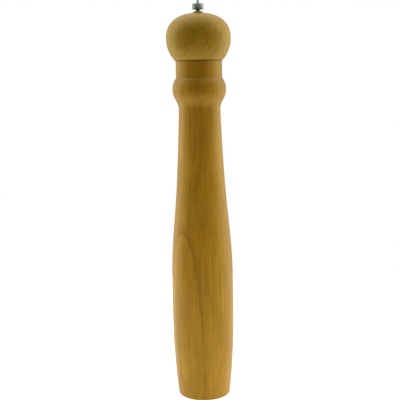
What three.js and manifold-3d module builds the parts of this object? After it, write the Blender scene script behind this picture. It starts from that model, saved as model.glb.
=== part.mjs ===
// Pepper mill, 406 mm tall: a turned beech body and head around a steel grinding mechanism.
// Millimetres, +Z up. The origin is the centre of the base, on the surface the mill stands on.
//
// The head turns a square spindle through its drive plate. The spindle turns a toothed cone, the
// rotor, inside a fixed toothed ring, the stator. The spring under the bridge pushes the rotor down,
// and the nut on the spindle's tip pulls it up, which closes the grinding gap.

import * as THREE from "three";
import { mergeVertices } from "three/addons/utils/BufferGeometryUtils.js";
import Module from "manifold-3d";

const wasm = await Module();
wasm.setup();

// ---- Driving dimensions -------------------------------------------------------------------------

const SPINDLE_TIP = 406.4; // the whole height, 16 inches
const REST_GAP = 0.3; // left between two pieces that rest on each other

// Body, turned outside. Radii are measured from the axis and heights from the base.
const BODY_HEIGHT = 345.6;
const BASE_RADIUS = 27.05;
const BASE_ROUND = 1.25;
const WAIST_RADIUS = 21.06;
const WAIST_ARC = 15.2; // hollow curve between waist and bead
const BEAD_RADIUS = 27.05;
const BEAD_HEIGHT = 318.3;
const BEAD_LOWER_ARC = 22.8;
const BEAD_UPPER_ARC = 17.5;
const NECK_RADIUS = 23.4;
const NECK_ROUND = 0.6;

// Body, bored inside.
const BORE_RADIUS = 13.5;
const STATOR_POCKET_RADIUS = 15.6;
const STATOR_POCKET_TOP = 18.6;
const PLATE_POCKET_RADIUS = 20.5;
const PLATE_POCKET_TOP = 3.6;
const EDGE_BREAK = 0.5;

// Head, turned outside, and its tenon.
const HEAD_BASE = BODY_HEIGHT + REST_GAP;
const HEAD_RADIUS = 32.4;
const HEAD_WIDEST = 367.8;
const HEAD_LOWER_ARC = 31.5;
const HEAD_FOOT_ARC = 2; // rounds the lower edge, tangent to the side and to the underside
const CROWN_RISE = 25.2; // from the widest height to the top of the crown's curve
const CROWN_POWER = 2.37; // above 2 the shoulders are fuller than an ellipse's
const CROWN_FLAT_RADIUS = 5.9;
const TENON_RADIUS = 13.2;
const TENON_LENGTH = 21.9;
const HEAD_ROD_HOLE_RADIUS = 2.1;
const HEAD_BAR_HOLE_RADIUS = 4;
const HEAD_BAR_HOLE_TOP = 345;

// Spindle: a square bar with a threaded rod at each end.
const BAR_SIDE = 5;
const BAR_BOTTOM = 8.3;
const BAR_TOP = 338;
const ROD_RADIUS = 1.65; // M3.5
const ROD_CHAMFER = 0.4;
const TAIL_RADIUS = 1.95; // M4
const TAIL_BOTTOM = 4.35;
const SQUARE_HOLE_SIDE = BAR_SIDE + REST_GAP;

// Stator and rotor. Their teeth lie on two cones of one slope.
const STATOR_BOTTOM = 3.7;
const STATOR_HEIGHT = 11.6;
const STATOR_OUTER_RADIUS = 15.3;
const STATOR_MOUTH_RADIUS = 13;
const STATOR_THROAT_RADIUS = 8.8;
const ROTOR_BOTTOM = 4.6;
const ROTOR_HEIGHT = 10.4;
const BURR_GAP = 0.9; // measured level; it closes to a quarter of a millimetre at full lift
const BURR_TEETH = 9;
const TOOTH_STEPS = 6;
const TOOTH_DEPTH = 0.8;
const TOOTH_TWIST = 0.8; // in teeth, from the bottom of the cone to its top
const ROTOR_RECESS_RADIUS = 6.3;

// Washer and nut under the rotor.
const TAIL_HOLE_RADIUS = 2.2;
const ROTOR_WASHER_RADIUS = 5.6;
const ROTOR_WASHER_THICKNESS = 1;
const ROTOR_NUT_ACROSS_FLATS = 7;
const ROTOR_NUT_HEIGHT = 2.1;

// Base plate and its three screws.
const BASE_PLATE_RADIUS = 20.1;
const BASE_PLATE_HOLE_RADIUS = 13.8;
const BASE_PLATE_BOTTOM = 1.8;
const BASE_PLATE_THICKNESS = 1.5;
const BASE_SCREWS = 3;
const BASE_SCREW_CIRCLE = 18;
const BASE_SCREW_HOLE_RADIUS = 1.4;
const BASE_SCREW = { headRadius: 1.9, headHeight: 1.1, shankRadius: 1.1, length: 10 };

// Bridge: a hat-shaped strap, riveted to the top of the stator.
const BRIDGE_THICKNESS = 1.2;
const BRIDGE_WIDTH = 9;
const BRIDGE_FOOT_REACH = 14.2;
const BRIDGE_LEG_REACH = 11.6;
const BRIDGE_RISE = 9;
const BRIDGE_BEARING_RADIUS = 3.9;
const RIVET_REACH = 12.9;
const RIVET_HOLE_RADIUS = 1;
const RIVET = { headRadius: 1.15, headHeight: 0.8, shankRadius: 0.7, length: 4.6 };

// Thrust washer and spring, between bridge and rotor.
const THRUST_WASHER_RADIUS = 6.2;
const THRUST_WASHER_THICKNESS = 1;
const SPRING_RADIUS = 4.5;
const SPRING_WIRE_RADIUS = 0.4;
const SPRING_TURNS = 4;

// Drive plate and its two screws, under the tenon.
const DRIVE_PLATE_RADIUS = 12.2;
const DRIVE_PLATE_THICKNESS = 1.5;
const DRIVE_SCREW_REACH = 8.5;
const DRIVE_SCREW_HOLE_RADIUS = 1.35;
const DRIVE_SCREW = { headRadius: 1.9, headHeight: 1, shankRadius: 1, length: 9 };
const PILOT_CLEARANCE = 0.25;

// Escutcheon and finial nut, on the crown.
const ESCUTCHEON_RADIUS = 5.6;
const ESCUTCHEON_EDGE = 1.1;
const ESCUTCHEON_HEIGHT = 2;
const ESCUTCHEON_DOME = 15.5;
const NUT_RADIUS = 5.75;
const NUT_HEIGHT = 5.5;
const NUT_CHAMFER = 0.35;
const NUT_HOLE_RADIUS = 1.85;
const NUT_COLLAR_RADIUS = 2.15;
const NUT_COLLAR_HEIGHT = 1.25;
const NUT_RIDGES = 20;
const NUT_RIDGE_DEPTH = 0.22;

// Fastener heads, as shares of the head's own size.
const HEAD_FLAT_SHARE = 0.75;
const HEAD_DOME_SHARE = 0.4;
const SLOT_WIDTH_SHARE = 0.28;
const SLOT_DEPTH_SHARE = 0.45;

// Facets round a full turn, and steps along the curves.
const TURNED_FACETS = 36;
const SMALL_FACETS = 12;
const BARREL_STEPS = 15;
const CROWN_STEPS = 10;
const BURR_LEVELS = 5;
const SPRING_STEPS_PER_TURN = 12;

// How far a drill runs past the hole it makes, and a rod into the bar it is joined to.
const OVERRUN = 1;
const VERTEX_TOLERANCE = 1e-5;
const CONE_TOLERANCE = 0.01;

// ---- Places that follow from the dimensions -----------------------------------------------------

const STATOR_TOP = STATOR_BOTTOM + STATOR_HEIGHT;
const ROTOR_TOP = ROTOR_BOTTOM + ROTOR_HEIGHT;
const BRIDGE_BOTTOM = STATOR_TOP + REST_GAP;
const BRIDGE_TOP = BRIDGE_BOTTOM + BRIDGE_RISE;
const THRUST_WASHER_TOP = BRIDGE_TOP - BRIDGE_THICKNESS - REST_GAP;
const THRUST_WASHER_BOTTOM = THRUST_WASHER_TOP - THRUST_WASHER_THICKNESS;
const TENON_BOTTOM = HEAD_BASE - TENON_LENGTH;
const DRIVE_PLATE_BOTTOM = TENON_BOTTOM - REST_GAP - DRIVE_PLATE_THICKNESS;
const CROWN_FLAT = HEAD_WIDEST + CROWN_RISE * Math.pow(
  1 - Math.pow(CROWN_FLAT_RADIUS / HEAD_RADIUS, CROWN_POWER),
  1 / CROWN_POWER,
);
const ESCUTCHEON_BOTTOM = CROWN_FLAT + REST_GAP;
const NUT_BOTTOM = ESCUTCHEON_BOTTOM + ESCUTCHEON_HEIGHT + REST_GAP;

// ---- Materials ----------------------------------------------------------------------------------

function finish(colour, roughness, metalness) {
  return () => new THREE.MeshStandardMaterial({ color: colour, roughness, metalness });
}

const beech = finish(0xb08038, 0.38, 0);
const platedSteel = finish(0xb4bab6, 0.3, 1);
const burrSteel = finish(0x5a5a5c, 0.45, 1);
const springSteel = finish(0x7c7c80, 0.35, 1);

// ---- Shape helpers ------------------------------------------------------------------------------

const point = (radius, height) => new THREE.Vector2(radius, height);

/** Points on a circular arc. Angles are in degrees, from straight out towards straight up. */
function arc(centreRadius, centreHeight, radius, from, to, steps) {
  const points = [];
  for (let i = 0; i <= steps; i += 1) {
    const angle = THREE.MathUtils.degToRad(from + ((to - from) * i) / steps);
    points.push(point(
      centreRadius + radius * Math.cos(angle),
      centreHeight + radius * Math.sin(angle),
    ));
  }
  return points;
}

/** Turns an outline of (radius, height) points round the Z axis. */
function turned(outline, facets) {
  return new THREE.LatheGeometry(outline, facets).rotateX(Math.PI / 2);
}

/** Turns an outline that goes round a section clear of the axis and closes on itself. */
function turnedRing(outline, facets) {
  return turned([...outline, outline[0].clone()], facets);
}

/** A square-cornered ring standing on height 0. */
function ring(innerRadius, outerRadius, height, facets) {
  return turnedRing([
    point(innerRadius, 0),
    point(outerRadius, 0),
    point(outerRadius, height),
    point(innerRadius, height),
  ], facets);
}

/** An upright cylinder standing on height 0. */
function rod(radius, height, facets) {
  return new THREE.CylinderGeometry(radius, radius, height, facets)
    .rotateX(Math.PI / 2)
    .translate(0, 0, height / 2);
}

/** A drill that makes a hole upwards from height 0, with its overrun below. */
function drill(radius, depth) {
  return rod(radius, depth + OVERRUN, SMALL_FACETS).translate(0, 0, -OVERRUN);
}

/** An upright square bar standing on height 0. */
function bar(side, height) {
  return new THREE.BoxGeometry(side, side, height).translate(0, 0, height / 2);
}

function toSolid(geometry) {
  const bare = geometry.clone();
  bare.deleteAttribute("normal");
  bare.deleteAttribute("uv");
  const merged = mergeVertices(bare, VERTEX_TOLERANCE);
  return new wasm.Manifold(new wasm.Mesh({
    numProp: 3,
    vertProperties: new Float32Array(merged.attributes.position.array),
    triVerts: new Uint32Array(merged.index.array),
  }));
}

function toGeometry(solid) {
  const mesh = solid.getMesh();
  const geometry = new THREE.BufferGeometry();
  geometry.setAttribute("position", new THREE.BufferAttribute(mesh.vertProperties, 3));
  geometry.setIndex(new THREE.BufferAttribute(mesh.triVerts, 1));
  return geometry;
}

function cut(geometry, ...tools) {
  return toGeometry(tools.reduce((solid, tool) => solid.subtract(toSolid(tool)), toSolid(geometry)));
}

function join(geometry, ...others) {
  return toGeometry(others.reduce((solid, other) => solid.add(toSolid(other)), toSolid(geometry)));
}

/** Cuts wavy helical teeth into the vertices that lie on a cone, given as its radius at a height. */
function toothe(geometry, coneRadius, direction) {
  const positions = geometry.attributes.position;
  for (let i = 0; i < positions.count; i += 1) {
    const [x, y, z] = [positions.getX(i), positions.getY(i), positions.getZ(i)];
    const radius = Math.hypot(x, y);
    if (Math.abs(radius - coneRadius(z)) < CONE_TOLERANCE) {
      const turn = Math.atan2(y, x) / (2 * Math.PI);
      const phase = BURR_TEETH * turn + (TOOTH_TWIST * z) / STATOR_HEIGHT;
      const depth = (TOOTH_DEPTH * (1 - Math.cos(2 * Math.PI * phase))) / 2;
      const scale = (radius + direction * depth) / radius;
      positions.setXY(i, x * scale, y * scale);
    }
  }
  return geometry;
}

/** A headed fastener, head down and shank up, with its head's underside at height 0. */
function fastener({ headRadius, headHeight, shankRadius, length }) {
  const dome = headHeight * HEAD_DOME_SHARE;
  return turned([
    point(0, -headHeight),
    point(headRadius * HEAD_FLAT_SHARE, -headHeight),
    point(headRadius, -headHeight + dome),
    point(headRadius, 0),
    point(shankRadius, 0),
    point(shankRadius, length - shankRadius),
    point(0, length),
  ], SMALL_FACETS);
}

/** A pan-headed wood screw with a straight slot. */
function woodScrew(size) {
  const slotLength = 2 * (size.headRadius + OVERRUN);
  const slotDepth = size.headHeight * SLOT_DEPTH_SHARE;
  const slot = new THREE.BoxGeometry(slotLength, size.headRadius * SLOT_WIDTH_SHARE, 2 * slotDepth)
    .translate(0, 0, -size.headHeight);
  return cut(fastener(size), slot);
}

/** A disc with a square hole and any number of round holes, standing on height 0. */
function keyedDisc(radius, thickness, roundHoles) {
  const outline = new THREE.Shape().absarc(0, 0, radius, 0, 2 * Math.PI);
  const half = SQUARE_HOLE_SIDE / 2;
  outline.holes.push(new THREE.Path([
    point(-half, -half),
    point(-half, half),
    point(half, half),
    point(half, -half),
  ]));
  for (const hole of roundHoles) {
    outline.holes.push(new THREE.Path().absarc(hole.x, 0, hole.radius, 0, 2 * Math.PI, true));
  }
  return new THREE.ExtrudeGeometry(outline, {
    depth: thickness,
    curveSegments: SMALL_FACETS,
    bevelEnabled: false,
  });
}

// ---- Body ---------------------------------------------------------------------------------------

/** The long curve of the barrel, from just above the base to the waist. */
function barrelCurve(waistHeight) {
  return new THREE.SplineCurve([
    point(BASE_RADIUS, BASE_ROUND),
    point(28.4, 12.5),
    point(30.1, 35),
    point(31.5, 62),
    point(31.93, 100),
    point(31.4, 135),
    point(30, 162),
    point(27.8, 186),
    point(25.2, 216),
    point(23.2, 248),
    point(22, 274),
    point(WAIST_RADIUS, waistHeight),
  ]).getSpacedPoints(BARREL_STEPS);
}

function bodyGeometry() {
  const level = WAIST_RADIUS + WAIST_ARC - (BEAD_RADIUS - BEAD_LOWER_ARC);
  const reach = WAIST_ARC + BEAD_LOWER_ARC;
  const waistHeight = BEAD_HEIGHT - Math.sqrt(reach * reach - level * level);
  const meet = THREE.MathUtils.radToDeg(Math.acos(level / reach));
  const crease = THREE.MathUtils.radToDeg(
    Math.acos(1 - (BEAD_RADIUS - NECK_RADIUS) / BEAD_UPPER_ARC),
  );
  const base = arc(BASE_RADIUS - BASE_ROUND, BASE_ROUND, BASE_ROUND, -90, 0, 3);
  const waist = arc(WAIST_RADIUS + WAIST_ARC, waistHeight, WAIST_ARC, 180, 180 - meet, 3);
  const beadBelow = arc(BEAD_RADIUS - BEAD_LOWER_ARC, BEAD_HEIGHT, BEAD_LOWER_ARC, -meet, 0, 3);
  const beadAbove = arc(BEAD_RADIUS - BEAD_UPPER_ARC, BEAD_HEIGHT, BEAD_UPPER_ARC, 0, crease, 3);
  const neckEdge = arc(NECK_RADIUS - NECK_ROUND, BODY_HEIGHT - NECK_ROUND, NECK_ROUND, 0, 90, 2);
  const outline = [
    ...base,
    ...barrelCurve(waistHeight).slice(1),
    ...waist.slice(1),
    ...beadBelow.slice(1),
    ...beadAbove.slice(1),
    ...neckEdge,
    point(BORE_RADIUS + EDGE_BREAK, BODY_HEIGHT),
    point(BORE_RADIUS, BODY_HEIGHT - EDGE_BREAK),
    point(BORE_RADIUS, STATOR_POCKET_TOP),
    point(STATOR_POCKET_RADIUS, STATOR_POCKET_TOP),
    point(STATOR_POCKET_RADIUS, PLATE_POCKET_TOP),
    point(PLATE_POCKET_RADIUS, PLATE_POCKET_TOP),
    point(PLATE_POCKET_RADIUS, EDGE_BREAK),
    point(PLATE_POCKET_RADIUS + EDGE_BREAK, 0),
  ];
  const pilots = ringOfPlaces(BASE_SCREWS, BASE_SCREW_CIRCLE).map(({ x, y }) => (
    drill(BASE_SCREW.shankRadius + PILOT_CLEARANCE, BASE_SCREW.length)
      .translate(x, y, BASE_PLATE_BOTTOM)
  ));
  return cut(turnedRing(outline, TURNED_FACETS), ...pilots);
}

/** Evenly spaced places on a circle, the first of them straight towards +Y. */
function ringOfPlaces(count, radius) {
  return Array.from({ length: count }, (_, i) => {
    const angle = Math.PI / 2 + (2 * Math.PI * i) / count;
    return { x: radius * Math.cos(angle), y: radius * Math.sin(angle) };
  });
}

// ---- Head ---------------------------------------------------------------------------------------

/** The fuller-than-elliptical crown, from the widest height to the small flat on top. */
function crownCurve() {
  const points = [];
  const last = Math.acos(Math.pow(CROWN_FLAT_RADIUS / HEAD_RADIUS, CROWN_POWER / 2));
  for (let i = 0; i <= CROWN_STEPS; i += 1) {
    const angle = (last * i) / CROWN_STEPS;
    points.push(point(
      HEAD_RADIUS * Math.pow(Math.cos(angle), 2 / CROWN_POWER),
      HEAD_WIDEST + CROWN_RISE * Math.pow(Math.sin(angle), 2 / CROWN_POWER),
    ));
  }
  return points;
}

function headGeometry() {
  const sideCentre = HEAD_RADIUS - HEAD_LOWER_ARC;
  const between = HEAD_LOWER_ARC - HEAD_FOOT_ARC;
  const meet = Math.asin((HEAD_WIDEST - HEAD_BASE - HEAD_FOOT_ARC) / between);
  const footCentre = sideCentre + between * Math.cos(meet);
  const meetDegrees = THREE.MathUtils.radToDeg(meet);
  const foot = arc(footCentre, HEAD_BASE + HEAD_FOOT_ARC, HEAD_FOOT_ARC, -90, -meetDegrees, 2);
  const side = arc(sideCentre, HEAD_WIDEST, HEAD_LOWER_ARC, -meetDegrees, 0, 7);
  const outline = [
    point(HEAD_BAR_HOLE_RADIUS, TENON_BOTTOM),
    point(TENON_RADIUS - EDGE_BREAK, TENON_BOTTOM),
    point(TENON_RADIUS, TENON_BOTTOM + EDGE_BREAK),
    point(TENON_RADIUS, HEAD_BASE),
    ...foot,
    ...side.slice(1),
    ...crownCurve().slice(1),
    point(HEAD_ROD_HOLE_RADIUS, CROWN_FLAT),
    point(HEAD_ROD_HOLE_RADIUS, HEAD_BAR_HOLE_TOP),
    point(HEAD_BAR_HOLE_RADIUS, HEAD_BAR_HOLE_TOP),
  ];
  const pilots = [-DRIVE_SCREW_REACH, DRIVE_SCREW_REACH].map((x) => (
    drill(DRIVE_SCREW.shankRadius + PILOT_CLEARANCE, DRIVE_SCREW.length)
      .translate(x, 0, DRIVE_PLATE_BOTTOM)
  ));
  return cut(turnedRing(outline, TURNED_FACETS), ...pilots);
}

// ---- Grinding mechanism -------------------------------------------------------------------------

/** Radius of the stator's tooth tips at a height above the stator's bottom. */
function statorCone(height) {
  return STATOR_MOUTH_RADIUS
    - ((STATOR_MOUTH_RADIUS - STATOR_THROAT_RADIUS) * height) / STATOR_HEIGHT;
}

function statorGeometry() {
  const face = [];
  for (let i = 0; i <= BURR_LEVELS; i += 1) {
    const height = STATOR_HEIGHT * (1 - i / BURR_LEVELS);
    face.push(point(statorCone(height), height));
  }
  const blank = turnedRing([
    point(STATOR_OUTER_RADIUS, 0),
    point(STATOR_OUTER_RADIUS, STATOR_HEIGHT),
    ...face,
  ], BURR_TEETH * TOOTH_STEPS);
  const holes = [-RIVET_REACH, RIVET_REACH].map((x) => (
    rod(RIVET_HOLE_RADIUS, RIVET.length, SMALL_FACETS)
      .translate(x, 0, STATOR_HEIGHT + OVERRUN - RIVET.length)
  ));
  return cut(toothe(blank, statorCone, 1), ...holes);
}

/** Radius of the rotor's tooth tips at a height above the rotor's bottom. */
function rotorCone(height) {
  return statorCone(height + ROTOR_BOTTOM - STATOR_BOTTOM) - BURR_GAP;
}

function rotorGeometry() {
  const face = [];
  for (let i = 0; i <= BURR_LEVELS; i += 1) {
    const height = (ROTOR_HEIGHT * i) / BURR_LEVELS;
    face.push(point(rotorCone(height), height));
  }
  const recess = BAR_BOTTOM - ROTOR_BOTTOM;
  const blank = turned([
    point(0, recess),
    point(ROTOR_RECESS_RADIUS, recess),
    point(ROTOR_RECESS_RADIUS, 0),
    ...face,
    point(0, ROTOR_HEIGHT),
  ], BURR_TEETH * TOOTH_STEPS);
  return cut(toothe(blank, rotorCone, -1), bar(SQUARE_HOLE_SIDE, ROTOR_HEIGHT + OVERRUN));
}

function spindleGeometry() {
  const rodLength = SPINDLE_TIP - BAR_TOP;
  const tail = BAR_BOTTOM - TAIL_BOTTOM;
  const threadedRod = turned([
    point(0, -OVERRUN),
    point(ROD_RADIUS, -OVERRUN),
    point(ROD_RADIUS, rodLength - ROD_CHAMFER),
    point(ROD_RADIUS - ROD_CHAMFER, rodLength),
    point(0, rodLength),
  ], SMALL_FACETS).translate(0, 0, BAR_TOP - BAR_BOTTOM);
  return join(
    bar(BAR_SIDE, BAR_TOP - BAR_BOTTOM),
    threadedRod,
    rod(TAIL_RADIUS, tail + OVERRUN, SMALL_FACETS).translate(0, 0, -tail),
  );
}

function hexNutGeometry(acrossFlats, height, holeRadius) {
  const corner = acrossFlats / Math.sqrt(3);
  return cut(rod(corner, height, 6), drill(holeRadius, height + OVERRUN));
}

function basePlateGeometry() {
  const holes = ringOfPlaces(BASE_SCREWS, BASE_SCREW_CIRCLE).map(({ x, y }) => (
    drill(BASE_SCREW_HOLE_RADIUS, BASE_PLATE_THICKNESS + OVERRUN).translate(x, y, 0)
  ));
  return cut(
    ring(BASE_PLATE_HOLE_RADIUS, BASE_PLATE_RADIUS, BASE_PLATE_THICKNESS, TURNED_FACETS),
    ...holes,
  );
}

/** The hat-shaped strap, seen from -Y and standing on height 0. */
function bridgeGeometry() {
  const inside = BRIDGE_LEG_REACH - BRIDGE_THICKNESS;
  const half = [
    point(inside, BRIDGE_RISE - BRIDGE_THICKNESS),
    point(inside, 0),
    point(BRIDGE_FOOT_REACH, 0),
    point(BRIDGE_FOOT_REACH, BRIDGE_THICKNESS),
    point(BRIDGE_LEG_REACH, BRIDGE_THICKNESS),
    point(BRIDGE_LEG_REACH, BRIDGE_RISE),
  ];
  const mirrored = half.map(({ x, y }) => point(-x, y)).reverse();
  const strap = new THREE.ExtrudeGeometry(new THREE.Shape([...half, ...mirrored]), {
    depth: BRIDGE_WIDTH,
    bevelEnabled: false,
  }).rotateX(Math.PI / 2).translate(0, BRIDGE_WIDTH / 2, 0);
  const bearing = rod(BRIDGE_BEARING_RADIUS, BRIDGE_RISE, SMALL_FACETS * 2)
    .translate(0, 0, BRIDGE_RISE / 2);
  const rivetHoles = [-RIVET_REACH, RIVET_REACH].map((x) => (
    drill(RIVET_HOLE_RADIUS, BRIDGE_THICKNESS + OVERRUN).translate(x, 0, 0)
  ));
  return cut(strap, bearing, ...rivetHoles);
}

/** The centre line of the spring's wire. */
class Coil extends THREE.Curve {
  constructor(radius, height, turns) {
    super();
    Object.assign(this, { radius, height, turns });
  }

  getPoint(t, target = new THREE.Vector3()) {
    const angle = 2 * Math.PI * this.turns * t;
    return target.set(this.radius * Math.cos(angle), this.radius * Math.sin(angle), this.height * t);
  }
}

function springGeometry(length) {
  const wire = new THREE.Shape().absarc(0, 0, SPRING_WIRE_RADIUS, 0, 2 * Math.PI);
  return new THREE.ExtrudeGeometry(wire, {
    extrudePath: new Coil(SPRING_RADIUS, length - 2 * SPRING_WIRE_RADIUS, SPRING_TURNS),
    steps: SPRING_STEPS_PER_TURN * SPRING_TURNS,
    curveSegments: 3,
    bevelEnabled: false,
  }).translate(0, 0, SPRING_WIRE_RADIUS);
}

// ---- Crown fittings -----------------------------------------------------------------------------

/** A low dome with a flat top, a short upright edge and a hole for the rod. */
function escutcheonGeometry() {
  const centre = ESCUTCHEON_EDGE - Math.sqrt(ESCUTCHEON_DOME ** 2 - ESCUTCHEON_RADIUS ** 2);
  const edgeAngle = THREE.MathUtils.radToDeg(Math.acos(ESCUTCHEON_RADIUS / ESCUTCHEON_DOME));
  const topAngle = THREE.MathUtils.radToDeg(Math.asin((ESCUTCHEON_HEIGHT - centre) / ESCUTCHEON_DOME));
  return turnedRing([
    point(HEAD_ROD_HOLE_RADIUS, 0),
    point(ESCUTCHEON_RADIUS, 0),
    ...arc(0, centre, ESCUTCHEON_DOME, edgeAngle, topAngle, 4),
    point(HEAD_ROD_HOLE_RADIUS, ESCUTCHEON_HEIGHT),
  ], SMALL_FACETS * 2);
}

/** A round nut with chamfered ends, upright ridges and a thin collar below. */
function finialNutGeometry() {
  const bottom = NUT_COLLAR_HEIGHT;
  const top = NUT_COLLAR_HEIGHT + NUT_HEIGHT;
  const nut = turnedRing([
    point(NUT_HOLE_RADIUS, 0),
    point(NUT_COLLAR_RADIUS, 0),
    point(NUT_COLLAR_RADIUS, bottom),
    point(NUT_RADIUS - NUT_CHAMFER, bottom),
    point(NUT_RADIUS, bottom + NUT_CHAMFER),
    point(NUT_RADIUS, top - NUT_CHAMFER),
    point(NUT_RADIUS - NUT_CHAMFER, top),
    point(NUT_HOLE_RADIUS, top),
  ], NUT_RIDGES * 2);
  const positions = nut.attributes.position;
  for (let i = 0; i < positions.count; i += 1) {
    const [x, y] = [positions.getX(i), positions.getY(i)];
    const facet = Math.round((Math.atan2(y, x) / Math.PI) * NUT_RIDGES);
    if (Math.hypot(x, y) > NUT_RADIUS - NUT_CHAMFER / 2 && facet % 2 !== 0) {
      const scale = 1 - NUT_RIDGE_DEPTH / NUT_RADIUS;
      positions.setXY(i, x * scale, y * scale);
    }
  }
  return nut;
}

// ---- Assembly -----------------------------------------------------------------------------------

function piece(parent, name, geometry, material, x, y, z) {
  const mesh = new THREE.Mesh(geometry, material());
  mesh.name = name;
  mesh.position.set(x, y, z);
  parent.add(mesh);
  return mesh;
}

/** What stays still when the head turns. */
function fixedGroup() {
  const group = new THREE.Group();
  piece(group, "body", bodyGeometry(), beech, 0, 0, 0);
  piece(group, "stator", statorGeometry(), burrSteel, 0, 0, STATOR_BOTTOM);
  piece(group, "base_plate", basePlateGeometry(), platedSteel, 0, 0, BASE_PLATE_BOTTOM);
  ringOfPlaces(BASE_SCREWS, BASE_SCREW_CIRCLE).forEach(({ x, y }, i) => {
    const screw = piece(
      group, `base_plate_screw_${i + 1}`, woodScrew(BASE_SCREW), platedSteel,
      x, y, BASE_PLATE_BOTTOM - REST_GAP,
    );
    screw.rotation.z = (i * Math.PI) / 5;
  });
  piece(group, "bridge", bridgeGeometry(), platedSteel, 0, 0, BRIDGE_BOTTOM);
  [-RIVET_REACH, RIVET_REACH].forEach((x, i) => {
    const rivet = piece(
      group, `bridge_rivet_${i + 1}`, fastener(RIVET), platedSteel,
      x, 0, BRIDGE_BOTTOM + BRIDGE_THICKNESS + REST_GAP,
    );
    rivet.rotation.x = Math.PI;
  });
  return group;
}

/** The spindle with the rotor, and the spring and washer that turn with it. */
function spindleGroup() {
  const group = new THREE.Group();
  const springBottom = ROTOR_TOP + REST_GAP;
  const springLength = THRUST_WASHER_BOTTOM - REST_GAP - springBottom;
  const washerBottom = BAR_BOTTOM - REST_GAP - ROTOR_WASHER_THICKNESS;
  piece(group, "spindle", spindleGeometry(), platedSteel, 0, 0, BAR_BOTTOM);
  piece(group, "rotor", rotorGeometry(), burrSteel, 0, 0, ROTOR_BOTTOM);
  piece(
    group, "rotor_washer",
    ring(TAIL_HOLE_RADIUS, ROTOR_WASHER_RADIUS, ROTOR_WASHER_THICKNESS, SMALL_FACETS * 2),
    platedSteel, 0, 0, washerBottom,
  );
  piece(
    group, "rotor_nut",
    hexNutGeometry(ROTOR_NUT_ACROSS_FLATS, ROTOR_NUT_HEIGHT, TAIL_HOLE_RADIUS),
    platedSteel, 0, 0, washerBottom - REST_GAP - ROTOR_NUT_HEIGHT,
  );
  piece(
    group, "thrust_washer", keyedDisc(THRUST_WASHER_RADIUS, THRUST_WASHER_THICKNESS, []),
    platedSteel, 0, 0, THRUST_WASHER_BOTTOM,
  );
  piece(group, "spring", springGeometry(springLength), springSteel, 0, 0, springBottom);
  return group;
}

/** The head and what comes away with it. */
function headGroup() {
  const group = new THREE.Group();
  const holes = [-DRIVE_SCREW_REACH, DRIVE_SCREW_REACH]
    .map((x) => ({ x, radius: DRIVE_SCREW_HOLE_RADIUS }));
  piece(group, "head", headGeometry(), beech, 0, 0, 0);
  piece(
    group, "drive_plate", keyedDisc(DRIVE_PLATE_RADIUS, DRIVE_PLATE_THICKNESS, holes),
    platedSteel, 0, 0, DRIVE_PLATE_BOTTOM,
  );
  holes.forEach(({ x }, i) => {
    piece(
      group, `drive_plate_screw_${i + 1}`, woodScrew(DRIVE_SCREW), platedSteel,
      x, 0, DRIVE_PLATE_BOTTOM - REST_GAP,
    );
  });
  piece(group, "escutcheon", escutcheonGeometry(), platedSteel, 0, 0, ESCUTCHEON_BOTTOM);
  piece(group, "finial_nut", finialNutGeometry(), platedSteel, 0, 0, NUT_BOTTOM);
  return group;
}

const mill = new THREE.Group();
mill.add(fixedGroup(), spindleGroup(), headGroup());

export default mill;
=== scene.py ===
import math

import bmesh
import bpy
from mathutils import Matrix, Quaternion, Vector


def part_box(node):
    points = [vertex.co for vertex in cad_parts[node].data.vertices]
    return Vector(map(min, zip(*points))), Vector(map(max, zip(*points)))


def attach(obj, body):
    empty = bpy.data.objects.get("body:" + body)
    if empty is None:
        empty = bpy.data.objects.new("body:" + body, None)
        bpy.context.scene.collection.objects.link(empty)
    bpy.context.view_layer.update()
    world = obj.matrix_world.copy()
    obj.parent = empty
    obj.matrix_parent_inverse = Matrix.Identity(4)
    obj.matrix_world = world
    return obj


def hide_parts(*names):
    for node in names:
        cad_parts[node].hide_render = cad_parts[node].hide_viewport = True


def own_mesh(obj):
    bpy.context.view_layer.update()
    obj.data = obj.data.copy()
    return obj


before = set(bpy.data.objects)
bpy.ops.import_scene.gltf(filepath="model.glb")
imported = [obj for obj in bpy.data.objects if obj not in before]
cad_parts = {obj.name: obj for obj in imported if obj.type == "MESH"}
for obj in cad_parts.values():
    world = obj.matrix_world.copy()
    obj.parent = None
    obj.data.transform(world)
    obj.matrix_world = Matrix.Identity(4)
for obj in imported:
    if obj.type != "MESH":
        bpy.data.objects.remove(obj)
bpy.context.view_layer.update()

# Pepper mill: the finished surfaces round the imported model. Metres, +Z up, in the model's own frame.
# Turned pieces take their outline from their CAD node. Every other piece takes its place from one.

MM = 0.001

# ---- Shape helpers ------------------------------------------------------------------------------

WOOD_SIDES = 144
STEEL_SIDES = 96
SHEET_EDGE = 0.15 * MM  # how far the edges of plates and washers are broken
SHARP_ANGLE = math.radians(38)  # edges that bend further than this are shaded as edges
SAME_POINT = 1e-7  # points nearer to each other than this are one
CUT_MARGIN = 1e-6  # how near to a cut counts as on it
STRAIGHT_TURN = math.radians(0.3)  # a point at which an outline turns less than this isn't needed
KINK_TURN = math.radians(12)  # a corner smaller than this needs no rounding
CORNER_TURN = math.radians(25)  # an outline that turns further than this at a point has a corner there
SLIGHT_TURN = CORNER_TURN / 8  # enough for a corner where a long span meets a short one
LONG_SPAN = 3  # times the length of the short one
CURVE_TURN = math.radians(2.5)  # the most that a smooth run turns from one point to the next
CURVE_STEP = 6 * MM  # the longest step along a smooth run


def circle(radius, height, sides):
    """A level ring of points round the axis."""
    angles = [2 * math.pi * i / sides for i in range(sides)]
    return [Vector((radius * math.cos(a), radius * math.sin(a), height)) for a in angles]


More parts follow.
